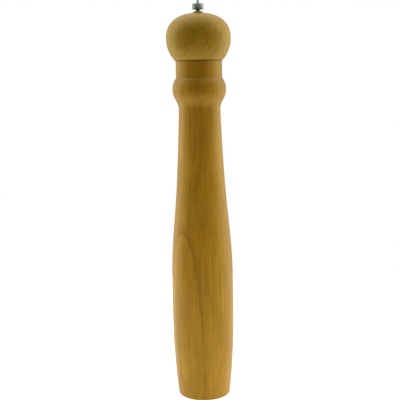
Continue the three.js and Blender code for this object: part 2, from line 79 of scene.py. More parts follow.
def polar(radius_at, height, sides):
    """A level ring whose radius depends on the angle."""
    ring = circle(1, 0, sides)
    for i, point in enumerate(ring):
        radius = radius_at(2 * math.pi * i / sides)
        ring[i] = Vector((point.x * radius, point.y * radius, height))
    return ring


def loft(name, rings, closed=False):
    """A mesh through rings of equally many points. The ends are capped, or joined to each other."""
    count = len(rings[0])
    mesh = bpy.data.meshes.new(name)
    points = [p for ring in rings for p in ring]
    faces = []
    for k in range(len(rings) if closed else len(rings) - 1):
        low, high = k * count, (k + 1) % len(rings) * count
        for i in range(count):
            j = (i + 1) % count
            faces.append((low + i, low + j, high + j, high + i))
    if not closed:
        faces.append(tuple(reversed(range(count))))
        faces.append(tuple(range(len(points) - count, len(points))))
    mesh.from_pydata(points, [], faces)
    tidy(mesh)
    return mesh


def tidy(mesh):
    """Joins doubled points and turns every face outwards."""
    bm = bmesh.new()
    bm.from_mesh(mesh)
    bmesh.ops.remove_doubles(bm, verts=bm.verts[:], dist=SAME_POINT)
    bmesh.ops.recalc_face_normals(bm, faces=bm.faces[:])
    bm.to_mesh(mesh)
    bm.free()


def shade(mesh):
    """Smooth shading, with the real edges left as edges."""
    mesh.polygons.foreach_set("use_smooth", [True] * len(mesh.polygons))
    mesh.set_sharp_from_angle(angle=SHARP_ANGLE)


def turn_at(outline, i):
    """How far a closed outline turns at a point, in radians."""
    before = outline[i] - outline[i - 1]
    after = outline[(i + 1) % len(outline)] - outline[i]
    return abs(before.angle_signed(after))


def cut_edges(bm, axis):
    """Cuts a turned solid by the half plane of +X (0) or +Y (1), and finds the edges of the cut."""
    across = 1 - axis
    normal = Vector((0, 0, 0))
    normal[across] = 1
    everything = bm.verts[:] + bm.edges[:] + bm.faces[:]
    bmesh.ops.bisect_plane(bm, geom=everything, plane_co=(0, 0, 0), plane_no=normal, dist=CUT_MARGIN)
    bmesh.ops.remove_doubles(bm, verts=bm.verts[:], dist=CUT_MARGIN)

    def lies_in(edge):
        return all(abs(v.co[across]) < 2 * CUT_MARGIN and v.co[axis] > 0 for v in edge.verts)

    return [e for e in bm.edges if lies_in(e)]


def walk(edges):
    """The corners of a closed chain of edges, in order."""
    chain = [edges[0].verts[0]]
    used = set()
    while True:
        at = chain[-1]
        step = next((e for e in at.link_edges if e in edges and e not in used), None)
        if step is None:
            return chain
        used.add(step)
        at = step.other_vert(at)
        if at is chain[0]:
            return chain
        chain.append(at)


def section(node, axis):
    """A turned node's closed outline, as (radius, height), cut by the half plane of +X (0) or +Y (1)."""
    bm = bmesh.new()
    bm.from_mesh(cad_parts[node].data)
    outline = [Vector((v.co[axis], v.co.z)) for v in walk(cut_edges(bm, axis))]
    bm.free()
    return [p for i, p in enumerate(outline) if turn_at(outline, i) > STRAIGHT_TURN]


def breaks(outline):
    """Which points of an outline part one smooth run from the next."""
    flags = []
    for i, point in enumerate(outline):
        before = (point - outline[i - 1]).length
        after = (outline[(i + 1) % len(outline)] - point).length
        turn = turn_at(outline, i)
        uneven = max(before, after) > LONG_SPAN * min(before, after)
        flags.append(turn > CORNER_TURN or (uneven and turn > SLIGHT_TURN))
    return flags


def tangents_along(run):
    """The direction of a smooth curve at each of the points that it runs through."""
    spans = [b - a for a, b in zip(run, run[1:])]
    lengths = [s.length for s in spans]
    slopes = [s / l for s, l in zip(spans, lengths)]
    tangents = [
        (slopes[k - 1] * lengths[k] + slopes[k] * lengths[k - 1]) / (lengths[k - 1] + lengths[k])
        for k in range(1, len(spans))
    ]
    tangents.insert(0, 2 * slopes[0] - tangents[0])
    tangents.append(2 * slopes[-1] - tangents[-1])
    return tangents


def curved(run):
    """Extra points along a smooth run, on a curve through its points. The last point is left out."""
    if len(run) == 2:
        return [run[0]]
    tangents = tangents_along(run)
    points = []
    for k, (start, end) in enumerate(zip(run, run[1:])):
        length = (end - start).length
        bend = abs(tangents[k].angle_signed(tangents[k + 1]))
        steps = max(1, math.ceil(bend / CURVE_TURN), math.ceil(length / CURVE_STEP))
        for i in range(steps):
            t = i / steps
            points.append(
                start * (1 + 2 * t) * (1 - t) ** 2
                + end * t * t * (3 - 2 * t)
                + tangents[k] * length * t * (1 - t) ** 2
                - tangents[k + 1] * length * t * t * (1 - t)
            )
    return points


def smoothed(outline):
    """A faceted outline as smooth runs between its corners."""
    flags = breaks(outline)
    first = flags.index(True)
    outline = outline[first:] + outline[:first]
    flags = flags[first:] + flags[:first]
    ends = [i for i, flag in enumerate(flags) if flag] + [len(outline)]
    loop = outline + [outline[0]]
    return [p for a, b in zip(ends, ends[1:]) for p in curved(loop[a:b + 1])]


def rounded(outline, radius, steps=4):
    """Rounds the corners of a closed outline with curves of that radius, or of a smaller one that fits."""
    most = 0.45  # of the span on either side of a corner
    points = []
    for i, corner in enumerate(outline):
        turn = turn_at(outline, i)
        if turn < KINK_TURN:
            points.append(corner)
            continue
        before = outline[i - 1] - corner
        after = outline[(i + 1) % len(outline)] - corner
        reach = min(radius * math.tan(turn / 2), most * before.length, most * after.length)
        start = corner + before.normalized() * reach
        end = corner + after.normalized() * reach
        for k in range(steps + 1):
            t = k / steps
            points.append(start * (1 - t) ** 2 + corner * 2 * t * (1 - t) + end * t * t)
    return points


def carved(name, mesh, cutters, edge=0.0):
    """The mesh with the cutters' shapes taken away and its edges broken."""
    base = bpy.data.objects.new(name, mesh)
    helpers = [base] + [bpy.data.objects.new(name, cutter) for cutter in cutters]
    for helper in helpers:
        bpy.context.scene.collection.objects.link(helper)
    for helper in helpers[1:]:
        cut = base.modifiers.new("cut", "BOOLEAN")
        cut.object = helper
        cut.solver = "EXACT"
    if edge:
        bevel = base.modifiers.new("edge", "BEVEL")
        bevel.width = edge
        bevel.segments = 2
        bevel.limit_method = "ANGLE"
        bevel.angle_limit = SHARP_ANGLE
    depsgraph = bpy.context.evaluated_depsgraph_get()
    made = bpy.data.meshes.new_from_object(base.evaluated_get(depsgraph))
    for helper in helpers:
        bpy.data.objects.remove(helper)
    tidy(made)
    return made


def moved(mesh, place, turn=0.0, flip=False):
    """The mesh turned about Z, turned upside down if asked, and put in place."""
    matrix = Matrix.Translation(place)
    if flip:
        matrix = matrix @ Matrix.Rotation(math.pi, 4, "X")
    mesh.transform(matrix @ Matrix.Rotation(turn, 4, "Z"))
    return mesh


def centre(node):
    """The middle of a node's box."""
    low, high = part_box(node)
    return (low + high) / 2


def add_piece(name, mesh, materials, body, slot, *nodes):
    """Adds a finished piece that stands for CAD nodes and moves with a body."""
    shade(mesh)
    obj = bpy.data.objects.new(name, mesh)
    for material in materials:
        mesh.materials.append(material)
    bpy.context.scene.collection.objects.link(obj)
    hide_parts(*nodes)
    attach(obj, body)
    return obj


# ---- Node helpers -------------------------------------------------------------------------------


class Nodes:
    """Short calls that add shader nodes to one material or world."""

    def __init__(self, tree):
        self.tree = tree

    def add(self, kind, inputs=None, **settings):
        node = self.tree.nodes.new(kind)
        for key, value in settings.items():
            setattr(node, key, value)
        for key, value in (inputs or {}).items():
            self.feed(node.inputs[key], value)
        return node

    def feed(self, socket, value):
        if isinstance(value, bpy.types.NodeSocket):
            self.tree.links.new(value, socket)
        else:
            socket.default_value = value

    def math(self, operation, *values):
        node = self.add("ShaderNodeMath", dict(enumerate(values)), operation=operation)
        return node.outputs[0]

    def vector(self, operation, *values):
        node = self.add("ShaderNodeVectorMath", dict(enumerate(values)), operation=operation)
        return node.outputs["Value" if operation in ("LENGTH", "DOT_PRODUCT") else "Vector"]

    def spread(self, value, low, high, to_low=0.0, to_high=1.0):
        """The value from low to high, eased to run from to_low to to_high."""
        inputs = {0: value, 1: low, 2: high, 3: to_low, 4: to_high}
        node = self.add("ShaderNodeMapRange", inputs, interpolation_type="SMOOTHSTEP")
        return node.outputs[0]

    def noise(self, place, scale, detail=2.0, roughness=0.5):
        """Noise between about 0.25 and 0.75. scale is (x, y, z) cells per millimetre, or one number."""
        if not isinstance(scale, (int, float)):
            place, scale = self.vector("MULTIPLY", place, scale), 1.0
        inputs = {"Vector": place, "Scale": scale, "Detail": detail, "Roughness": roughness}
        return self.add("ShaderNodeTexNoise", inputs).outputs["Fac"]

    def mix(self, factor, a, b, blend="MIX"):
        node = self.add("ShaderNodeMix", {0: factor, 6: a, 7: b}, data_type="RGBA", blend_type=blend)
        return node.outputs[2]

    def bump(self, height, strength, distance):
        inputs = {"Height": height, "Strength": strength, "Distance": distance}
        return self.add("ShaderNodeBump", inputs).outputs["Normal"]

    def place_mm(self):
        """The place on the object, in millimetres."""
        place = self.add("ShaderNodeTexCoord").outputs["Object"]
        return self.scaled(place, 1 / MM)

    def scaled(self, place, scale):
        node = self.add("ShaderNodeVectorMath", {0: place, "Scale": scale}, operation="SCALE")
        return node.outputs["Vector"]


def new_material(name, **constants):
    """A material with one principled shader, its constants set on the shader's own sockets."""
    material = bpy.data.materials.new(name)
    material.use_nodes = True
    shader = material.node_tree.nodes["Principled BSDF"]
    for key, value in constants.items():
        shader.inputs[key.replace("_", " ").title().replace("Ior", "IOR")].default_value = value
    return Nodes(material.node_tree), shader, material


# ---- Materials ----------------------------------------------------------------------------------

PITH_DIRECTION = math.radians(-132)  # the growth rings face this way, away from the pith
PITH_DISTANCE = 400.0  # mm from the mill's axis, so the rings are nearly flat here
RING_SPACING = 6.2  # mm
RING_LEAN = 0.043  # mm outwards for each mm up
RING_SWAY = 2.6  # mm from side to side, at the very most
MAIN_RING = 21.9  # mm from the axis at the base, where the clearest ring lies
MAIN_RING_STRENGTH = 0.9  # how dark its late wood is, from 0 to 1
NEXT_RING_STRENGTH = 0.42
LEAST_RING_STRENGTH = 0.06
RING_STRENGTH_RANGE = 0.32  # of the other rings, above the least
LATE_WOOD_TINT = (0.62, 0.55, 0.45, 1)
FINE_FLECK = (6.0, 0.6, 3.2)  # mm along the ray, across it and upwards
BOLD_FLECK = (6.0, 0.85, 5.0)
FINE_SHARE = 0.65  # how many of the places for a fleck have one
BOLD_SHARE = 0.3
FLECK_TINT = (0.52, 0.42, 0.3, 1)


def ring_coordinate(nodes, place, offset):
    """Distance outwards from the clearest growth ring, counted in rings. offset, in mm, moves the rings."""
    pith = (
        -PITH_DISTANCE * math.cos(PITH_DIRECTION),
        -PITH_DISTANCE * math.sin(PITH_DIRECTION),
        0,
    )
    apart = nodes.vector("SUBTRACT", place, pith)
    level = nodes.vector("LENGTH", nodes.vector("MULTIPLY", apart, (1, 1, 0)))
    height = nodes.add("ShaderNodeSeparateXYZ", {0: place}).outputs["Z"]
    leant = nodes.math("MULTIPLY", height, RING_LEAN)
    sway = nodes.noise(place, (0.03, 0.03, 0.012), 1.5)
    start = -RING_SWAY / 2 - PITH_DISTANCE - MAIN_RING + offset
    sway = nodes.math("MULTIPLY_ADD", sway, RING_SWAY, start)
    across = nodes.math("ADD", nodes.math("SUBTRACT", level, leant), sway)
    return nodes.math("DIVIDE", across, RING_SPACING)


def ring_darkness(nodes, rings):
    """Late wood: each ring darkens outwards and stops at a fine line. The clearest ring is darkest."""
    phase = nodes.math("FRACT", rings)
    late = nodes.math("MULTIPLY", nodes.math("POWER", phase, 2.0), 0.55)
    line = nodes.math("MULTIPLY", nodes.math("POWER", phase, 18.0), 0.45)
    shape = nodes.math("ADD", late, line)
    index = nodes.math("FLOOR", rings)
    chance = nodes.add("ShaderNodeTexWhiteNoise", {"W": index}, noise_dimensions="1D")
    usual = nodes.math("MULTIPLY_ADD", chance.outputs["Value"], RING_STRENGTH_RANGE, LEAST_RING_STRENGTH)
    clearest = nodes.math("MULTIPLY", nodes.math("COMPARE", index, -1.0, 0.5), MAIN_RING_STRENGTH)
    second = nodes.math("MULTIPLY", nodes.math("COMPARE", index, 0.0, 0.5), NEXT_RING_STRENGTH)
    strength = nodes.math("MAXIMUM", usual, nodes.math("MAXIMUM", clearest, second))
    return nodes.math("MULTIPLY", shape, strength)


def ray_flecks(nodes, place, size, share):
    """Beech's rays: thin upright plates that run out from the pith. They show as short dark dashes."""
    turned = nodes.add("ShaderNodeVectorRotate", {"Vector": place, "Angle": -PITH_DIRECTION})
    turned.rotation_type = "Z_AXIS"
    cells = nodes.vector("DIVIDE", turned.outputs[0], size)
    voronoi = nodes.add("ShaderNodeTexVoronoi", {"Vector": cells, "Scale": 1.0}, feature="F1")
    chosen = nodes.add("ShaderNodeSeparateColor", {0: voronoi.outputs["Color"]}).outputs[0]
    chosen = nodes.math("LESS_THAN", chosen, share)
    near = nodes.spread(voronoi.outputs["Distance"], 0.12, 0.36, 1.0, 0.0)
    return nodes.math("MULTIPLY", near, chosen)


def wood_tone(nodes, place, fibres, grain):
    """How light the wood is, by its streaks, its fibres and a broad mottle."""
    streaks = nodes.noise(place, (0.38, 0.38, 0.009), 3.0, 0.6)
    mottle = nodes.noise(place, (0.05, 0.05, 0.022), 2.0)
    tone = nodes.math("MULTIPLY_ADD", streaks, 0.8, 0.1)
    tone = nodes.math("ADD", tone, nodes.math("MULTIPLY_ADD", fibres, grain, -grain / 2))
    return nodes.math("ADD", tone, nodes.math("MULTIPLY_ADD", mottle, 0.7, -0.35))


def beech(name, colours, shift, grain, **constants):
    """Beech with its growth rings, fibres and ray flecks. shift, in mm, makes each piece its own."""
    light, middle, dark = colours
    nodes, shader, material = new_material(name, **constants)
    place = nodes.vector("ADD", nodes.place_mm(), shift)
    fibres = nodes.noise(place, (1.0, 1.0, 0.03), 2.0, 0.65)
    tone = wood_tone(nodes, place, fibres, grain)
    colour = nodes.mix(nodes.spread(tone, 0.15, 0.55), dark, middle)
    colour = nodes.mix(nodes.spread(tone, 0.45, 0.85), colour, light)
    late = nodes.mix(1.0, colour, LATE_WOOD_TINT, "MULTIPLY")
    rings = ring_coordinate(nodes, nodes.place_mm(), shift[0])
    colour = nodes.mix(ring_darkness(nodes, rings), colour, late)
    fine = nodes.math("MULTIPLY", ray_flecks(nodes, place, FINE_FLECK, FINE_SHARE), 0.4)
    bold = nodes.math("MULTIPLY", ray_flecks(nodes, place, BOLD_FLECK, BOLD_SHARE), 0.5)
    flecks = nodes.math("MAXIMUM", fine, bold)
    colour = nodes.mix(flecks, colour, nodes.mix(1.0, colour, FLECK_TINT, "MULTIPLY"))
    nodes.feed(shader.inputs["Base Color"], colour)
    base = constants["roughness"]
    nodes.feed(shader.inputs["Roughness"], nodes.spread(fibres, 0.3, 0.7, base - 0.06, base + 0.08))
    relief = nodes.math("ADD", fibres, nodes.math("MULTIPLY", flecks, -0.4))
    nodes.feed(shader.inputs["Normal"], nodes.bump(relief, 0.08, 0.05 * MM))
    return material


SHADOW_TINT = (0.72, 0.72, 0.74)  # steel's darker patches, as a share of its colour


def turning_lines(nodes, place):
    """Fine rings round the axis, as a lathe leaves them."""
    radius = nodes.vector("LENGTH", nodes.vector("MULTIPLY", place, (1, 1, 0)))
    inputs = {"W": radius, "Scale": 5.0, "Detail": 2.0}
    return nodes.add("ShaderNodeTexNoise", inputs, noise_dimensions="1D").outputs["Fac"]


def steel(name, colour, roughness, marks=None, relief=0.02):
    """Plated or ground steel. marks are the cells per millimetre of its tool marks along X, Y and Z."""
    wear = 0.06
    nodes, shader, material = new_material(name, metallic=1.0)
    place = nodes.place_mm()
    cloud = nodes.noise(place, 0.35, 3.0, 0.6)
    grain = nodes.noise(place, 6.0, 3.0, 0.7)
    lines = nodes.noise(place, marks, 2.0, 0.6) if marks else turning_lines(nodes, place)
    shadow = (*(part * share for part, share in zip(colour, SHADOW_TINT)), 1)
    tint = nodes.mix(nodes.spread(cloud, 0.35, 0.7), (*colour, 1), shadow)
    tint = nodes.mix(nodes.spread(grain, 0.55, 0.75, 0.0, 0.5), tint, shadow)
    nodes.feed(shader.inputs["Base Color"], tint)
    rough = nodes.spread(lines, 0.3, 0.7, roughness, roughness + wear)
    rough = nodes.math("ADD", rough, nodes.spread(cloud, 0.3, 0.7, 0.0, wear))
    nodes.feed(shader.inputs["Roughness"], rough)
    height = nodes.math("ADD", lines, nodes.math("MULTIPLY", grain, 0.5))
    nodes.feed(shader.inputs["Normal"], nodes.bump(height, 0.35, relief * MM))
    return material


LACQUER = dict(roughness=0.42, ior=1.42, specular_tint=(1.0, 0.85, 0.35, 1))
BARE = dict(roughness=0.62)
GOLDEN = ((0.445, 0.230, 0.016, 1), (0.365, 0.184, 0.010, 1), (0.285, 0.136, 0.007, 1))
OLIVE = ((0.42, 0.242, 0.018, 1), (0.35, 0.196, 0.012, 1), (0.28, 0.150, 0.009, 1))
PALE = ((0.66, 0.46, 0.27, 1), (0.58, 0.38, 0.21, 1), (0.47, 0.29, 0.14, 1))
BODY_SHIFT = (0.0, 0.0, 0.0)
HEAD_SHIFT = (3.7, 41.0, 90.0)

body_wood = beech("body_beech", GOLDEN, BODY_SHIFT, grain=0.85, **LACQUER)
head_wood = beech("head_beech", OLIVE, HEAD_SHIFT, grain=1.5, **LACQUER)
body_raw = beech("body_bare_beech", PALE, BODY_SHIFT, grain=0.7, **BARE)
head_raw = beech("head_bare_beech", PALE, HEAD_SHIFT, grain=0.7, **BARE)
nickel = steel("nickel_plate", (0.50, 0.51, 0.47), roughness=0.50)
nut_nickel = steel("nut_nickel_plate", (0.47, 0.56, 0.55), roughness=0.66, marks=(3.0, 3.0, 0.3))
# painted shade: near-black steel for the nut's collar and bore, which lie in the nut's shadow
nut_shadow = steel("nut_collar_painted_shade", (0.035, 0.045, 0.04), roughness=0.42)
bar_steel = steel("spindle_steel", (0.96, 0.97, 0.96), roughness=0.85, marks=(2.5, 2.5, 0.06))
zinc = steel("zinc_plate", (0.58, 0.58, 0.55), roughness=0.30, marks=(0.6, 4.0, 0.6))
screw_zinc = steel("screw_zinc_plate", (0.50, 0.49, 0.44), roughness=0.33, marks=(3.0, 3.0, 3.0))
burr = steel("burr_steel", (0.16, 0.16, 0.165), roughness=0.36, marks=(3.0, 3.0, 1.0), relief=0.05)
spring_steel = steel("spring_steel", (0.34, 0.34, 0.35), roughness=0.28, marks=(1.0, 1.0, 6.0))

# ---- Wooden pieces ------------------------------------------------------------------------------


def turned_piece(name, outline, finishes, body, slot, node, sides, edge, is_bare=None):
    """A piece turned to an outline, smooth and with rounded edges. is_bare picks the second finish."""
    outline = rounded(smoothed(outline), edge)
    mesh = loft(name, [circle(p.x, p.y, sides) for p in outline], closed=True)
    if is_bare:
        for face in mesh.polygons:
            radius = math.hypot(face.center.x, face.center.y)
            face.material_index = int(is_bare(radius, face.center.z))
    return add_piece(name, mesh, finishes, body, slot, node)


JOINT_GAP = 0.2 * MM  # between the head and the neck it sits on
JOINT_EDGE = 0.75 * MM  # the wood's corners are rounded this much, which leaves a fine groove at the joint
LEVEL_MARGIN = 0.02 * MM  # how near in height counts as level
INNER_RADIUS = 20.7 * MM  # the lacquer ends here, inside the whole outer surface of the body
HEAD_BORE_LIMIT = INNER_RADIUS / 4  # between the radius of the head's bore and that of its tenon


def head_seat(outline):
    """Height of the ring-shaped face on which the head sits."""
    return min(p.y for p in outline if p.x > INNER_RADIUS)


def add_body():
    """The long turned body, bare wood inside. Its neck reaches up to the head."""
    outline = section("body", 0)
    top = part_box("body")[1].z
    raised = head_seat(section("head", 1)) - JOINT_GAP
    for point in outline:
        if point.y > top - LEVEL_MARGIN:
            point.y = raised
    turned_piece(
        "mill_body_turning", outline, [body_wood, body_raw], "mill_body", "beech_wood", "body",
        WOOD_SIDES, JOINT_EDGE, lambda radius, height: radius < INNER_RADIUS,
    )


def add_head():
    """The turned head. Its tenon and its bore are bare wood."""
    outline = section("head", 1)
    seat = head_seat(outline)
    bore_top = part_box("escutcheon")[0].z - MM

    def is_bare(radius, height):
        is_bore = radius < HEAD_BORE_LIMIT and height < bore_top
        return is_bore or (radius < INNER_RADIUS and height < seat + LEVEL_MARGIN)

    turned_piece(
        "head_turning", outline, [head_wood, head_raw], "head", "beech_wood", "head",
        WOOD_SIDES, JOINT_EDGE, is_bare,
    )


# ---- Crown fittings -----------------------------------------------------------------------------

NUT_FLUTES = 40
NUT_SIDES = NUT_FLUTES * 8
NUT_FLUTE_POWER = 0.7  # less than 1 makes the ridges narrower than the grooves
NUT_FLUTE_DEPTH = 0.15 * MM
NUT_BORE = 1.72 * MM
NUT_COLLAR_RADIUS = 1.95 * MM
NUT_COLLAR_HEIGHT = 1.25 * MM
NUT_CHAMFER = 0.35 * MM
NUT_EDGE = 0.1 * MM


def add_escutcheon():
    """The small domed washer on the crown."""
    turned_piece(
        "escutcheon_cap", section("escutcheon", 0), [nickel], "head", "plated_steel", "escutcheon",
        STEEL_SIDES, SHEET_EDGE,
    )


def fluted(radius, height, depth):
    """A level ring with the nut's flutes cut into it."""
    def radius_at(angle):
        return radius - depth * (0.5 - 0.5 * math.cos(NUT_FLUTES * angle)) ** NUT_FLUTE_POWER

    return polar(radius_at, height, NUT_SIDES)


def add_finial_nut():
    """A round nut with fine upright flutes, chamfered ends and a thin collar below. Its collar and bore are
    painted near black as shade.
    """
    name = "finial_nut_knurled"
    low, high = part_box("finial_nut")
    outer = high.x
    bottom = low.z + NUT_COLLAR_HEIGHT
    collar, chamfer, edge = NUT_COLLAR_RADIUS, NUT_CHAMFER, NUT_EDGE
    rings = [
        circle(NUT_BORE, low.z, NUT_SIDES),
        circle(collar - edge, low.z, NUT_SIDES),
        circle(collar, low.z + edge, NUT_SIDES),
        circle(collar, bottom, NUT_SIDES),
        circle(outer - chamfer - edge, bottom, NUT_SIDES),
        fluted(outer - chamfer, bottom + edge / 2, 0),
        fluted(outer - edge, bottom + chamfer - edge / 2, NUT_FLUTE_DEPTH / 2),
        fluted(outer, bottom + chamfer + edge, NUT_FLUTE_DEPTH),
        fluted(outer, high.z - chamfer - edge, NUT_FLUTE_DEPTH),
        fluted(outer - edge, high.z - chamfer + edge / 2, NUT_FLUTE_DEPTH / 2),
        fluted(outer - chamfer, high.z - edge / 2, 0),
        circle(outer - chamfer - edge, high.z, NUT_SIDES),
        circle(NUT_BORE + 2 * edge, high.z, NUT_SIDES),
        circle(NUT_BORE, high.z - 2 * edge, NUT_SIDES),
    ]
    mesh = loft(name, rings, closed=True)
    # the collar and the bore take the near-black painted shade
    for face in mesh.polygons:
        is_collar = face.center.z < bottom - edge
        is_bore = face.center.xy.length < NUT_BORE + edge / 2
        face.material_index = int(is_collar or is_bore)
    add_piece(name, mesh, [nut_nickel, nut_shadow], "nut", "plated_steel", "finial_nut")


# ---- Spindle ------------------------------------------------------------------------------------

ROD_RADIUS = 1.65 * MM
TAIL_RADIUS = 1.95 * MM
ROD_PITCH = 0.6 * MM
TAIL_PITCH = 0.7 * MM
THREAD_DEPTH = 0.3 * MM
ROD_THREAD_LENGTH = 22 * MM
THREAD_STEPS = 8  # rings of points in each pitch
THREAD_ROOT = 1.15  # more than 1 leaves the groove's bottom flat
THREAD_END = 0.35 * MM  # how much narrower a thread's end is
BAR_TOP = 338 * MM
BAR_CORNER = 0.45 * MM
BAR_SHOULDER = 0.5 * MM
BAR_EDGE = 0.1 * MM
ROD_FILLET = 0.2 * MM
ROD_CHAMFER = 0.4 * MM
TAIL_CHAMFER = 0.25 * MM
BAR_SIDES = 64
WASHER_GAP = 0.3 * MM  # above the rotor's washer, to the rotor's recess and to the bar
HOLE_CORNER = 0.3 * MM
SQUARE_HOLE = 2.65 * MM  # half the width of the square holes that the bar passes through


def square_radius(half, corner, angle):
    """Radius of a square with rounded corners, at an angle."""
    c, s = abs(math.cos(angle)), abs(math.sin(angle))
    if min(c, s) / max(c, s) * half < half - corner:
        return half / max(c, s)
    middle = (half - corner) * (c + s)
    return middle + math.sqrt(middle ** 2 - 2 * (half - corner) ** 2 + corner ** 2)


def thread_rings(radius, low, high, pitch, sides, depth=THREAD_DEPTH):
    """Rings of a right-hand thread from low to high, which fades in at its upper and lower ends."""
    rings = []
    count = max(2, round((high - low) / pitch * THREAD_STEPS))
    for k in range(count + 1):
        height = low + (high - low) * k / count
        fade = min(1, (height - low) / pitch, (high - height) / pitch)

        def radius_at(angle, height=height, fade=fade):
            phase = (height / pitch - angle / (2 * math.pi)) % 1
            groove = min(1, abs(2 * phase - 1) * THREAD_ROOT)
            return radius - depth * fade * groove

        rings.append(polar(radius_at, height, sides))
    return rings


def add_spindle():
    """Square bar with a threaded rod above and a threaded tail below, as one turned and ground piece."""
    low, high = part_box("spindle")
    bar_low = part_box("rotor_washer")[1].z + WASHER_GAP
    half = high.x

    def disc(radius, height):
        return circle(radius, height, BAR_SIDES)

    def square(size, height):
        return polar(lambda a: square_radius(size, BAR_CORNER, a), height, BAR_SIDES)

    def thread(radius, start, end, pitch):
        return thread_rings(radius, start, end, pitch, BAR_SIDES)

    rings = [
        disc(TAIL_RADIUS - THREAD_END, low.z),
        *thread(TAIL_RADIUS, low.z + TAIL_CHAMFER, bar_low - BAR_EDGE, TAIL_PITCH),
        disc(TAIL_RADIUS, bar_low),
        square(half - BAR_EDGE, bar_low),
        square(half, bar_low + 1.5 * BAR_EDGE),
        square(half, BAR_TOP - BAR_SHOULDER),
        square(half - BAR_SHOULDER / 2, BAR_TOP),
        disc(ROD_RADIUS + ROD_FILLET, BAR_TOP),
        disc(ROD_RADIUS, BAR_TOP + 1.5 * ROD_FILLET),
        *thread(ROD_RADIUS, high.z - ROD_THREAD_LENGTH, high.z - ROD_CHAMFER, ROD_PITCH),
        disc(ROD_RADIUS - THREAD_END, high.z),
    ]
    mesh = loft("spindle_bar", rings)
    add_piece("spindle_bar", mesh, [bar_steel], "spindle", "plated_steel", "spindle")


# ---- Burrs --------------------------------------------------------------------------------------

COARSE_TEETH = 9
FINE_TEETH = 36
COARSE_DEPTH = 0.8 * MM
FINE_DEPTH = 0.35 * MM
BURR_SIDES = 288
BURR_ROWS = [k / 26 for k in range(27)]  # shares of the height, from the bottom up
COARSE_START = 0.18  # share of the height at which the coarse teeth start
COARSE_FADE = 0.5  # share of the height over which the fine teeth turn into them
COARSE_LEAN = 0.8  # how many teeth's widths they slant by, from the bottom up
FINE_LEAN = 1.2
TOOTH_BACK = 0.78  # share of a tooth that its gentle side takes
MOUTH_RADIUS = 13.0 * MM  # of the stator's tooth edges at its foot
THROAT_RADIUS = 8.8 * MM  # of the same at its top
LEVEL_GAP = 0.9 * MM  # between the two burrs, measured level
RECESS_RADIUS = 6.3 * MM
RECESS_EDGE = 0.3 * MM


def tooth(phase):
    """A saw tooth's depth, from 0 at its edge to 1 at its root: steep on one side only."""
    phase %= 1
    return phase / TOOTH_BACK if phase < TOOTH_BACK else (1 - phase) / (1 - TOOTH_BACK)


def burr_depth(angle, share, lean):
    """How deep the teeth are cut at an angle, a share of the way up. Coarse above, fine below."""
    turn = angle / (2 * math.pi)
    coarse = min(1, max(0, (share - COARSE_START) / COARSE_FADE))
    fine = 1 - coarse
    deep = COARSE_DEPTH * coarse * tooth(COARSE_TEETH * turn + COARSE_LEAN * lean * share)
    return deep + FINE_DEPTH * fine * tooth(FINE_TEETH * turn + FINE_LEAN * lean * share)


def toothed_face(node, rows, gap, side):
    """Rings of a burr's toothed face. side is 1 where the teeth are cut outwards, and -1 inwards."""
    low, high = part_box(node)
    mouth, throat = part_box("stator")
    face = []
    for share in rows:
        height = low.z + (high.z - low.z) * share
        way_up = (height - mouth.z) / (throat.z - mouth.z)
        edge = MOUTH_RADIUS - (MOUTH_RADIUS - THROAT_RADIUS) * way_up - gap

        def radius_at(angle, edge=edge, share=share):
            return edge + side * burr_depth(angle, share, side)

        face.append(polar(radius_at, height, BURR_SIDES))
    return face


def add_stator():
    """The fixed burr: a ring, toothed inside."""
    low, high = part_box("stator")
    edge = 0.3 * MM
    rings = [
        circle(high.x - edge, low.z, BURR_SIDES),
        circle(high.x, low.z + edge, BURR_SIDES),
        circle(high.x, high.z - edge, BURR_SIDES),
        circle(high.x - edge, high.z, BURR_SIDES),
        *toothed_face("stator", reversed(BURR_ROWS), 0, 1),
    ]
    mesh = loft("stator_ring", rings, closed=True)
    add_piece("stator_ring", mesh, [burr], "mill_body", "burr_steel", "stator")


def add_rotor():
    """The turning burr: a cone, toothed outside, recessed below for its washer and nut."""
    low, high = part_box("rotor")
    recess_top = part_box("rotor_washer")[1].z + WASHER_GAP
    edge = 0.2 * MM

    def square(size, height):
        return polar(lambda a: square_radius(size, HOLE_CORNER, a), height, BURR_SIDES)

    rings = [
        square(SQUARE_HOLE, recess_top),
        circle(RECESS_RADIUS - RECESS_EDGE, recess_top, BURR_SIDES),
        circle(RECESS_RADIUS, recess_top - RECESS_EDGE, BURR_SIDES),
        circle(RECESS_RADIUS, low.z + edge, BURR_SIDES),
        circle(RECESS_RADIUS + edge, low.z, BURR_SIDES),
        *toothed_face("rotor", BURR_ROWS, LEVEL_GAP, -1),
        square(SQUARE_HOLE + edge, high.z),
        square(SQUARE_HOLE, high.z - edge),
    ]
    mesh = loft("rotor_cone", rings, closed=True)
    add_piece("rotor_cone", mesh, [burr], "spindle", "burr_steel", "rotor")


# ---- Fasteners ----------------------------------------------------------------------------------

SCREW_PITCH = 1.25 * MM
SCREW_THREAD_DEPTH = 0.28 * MM
SCREW_HEAD_RADIUS = 1.9 * MM
SCREW_SLOT = 0.26 * MM  # half of its width
SCREW_SIDES = 40
SCREW_PLAIN = 0.4 * MM  # shank between the head and the thread
SCREW_POINT = 3  # length of the tapered point, in radii of the shank
BASE_SCREW = 1.1 * MM  # the shank's radius, and the head's height
DRIVE_SCREW = 1.0 * MM
RIVET_HEAD_RADIUS = 1.15 * MM
RIVET_HEAD_HEIGHT = 0.8 * MM
RIVET_RADIUS = 0.7 * MM
RIVET_CHAMFER = 0.3 * MM
RIVET_SIDES = 32
DOME_START = math.radians(12)  # how far from the crown its flat middle ends
DOME_STEPS = 6
DOME_SHARE = 0.75  # of the head's height. The rest is its rim
DOME_POWER = 0.8  # less than 1 makes the dome fuller
RIM_EDGE = 0.12 * MM


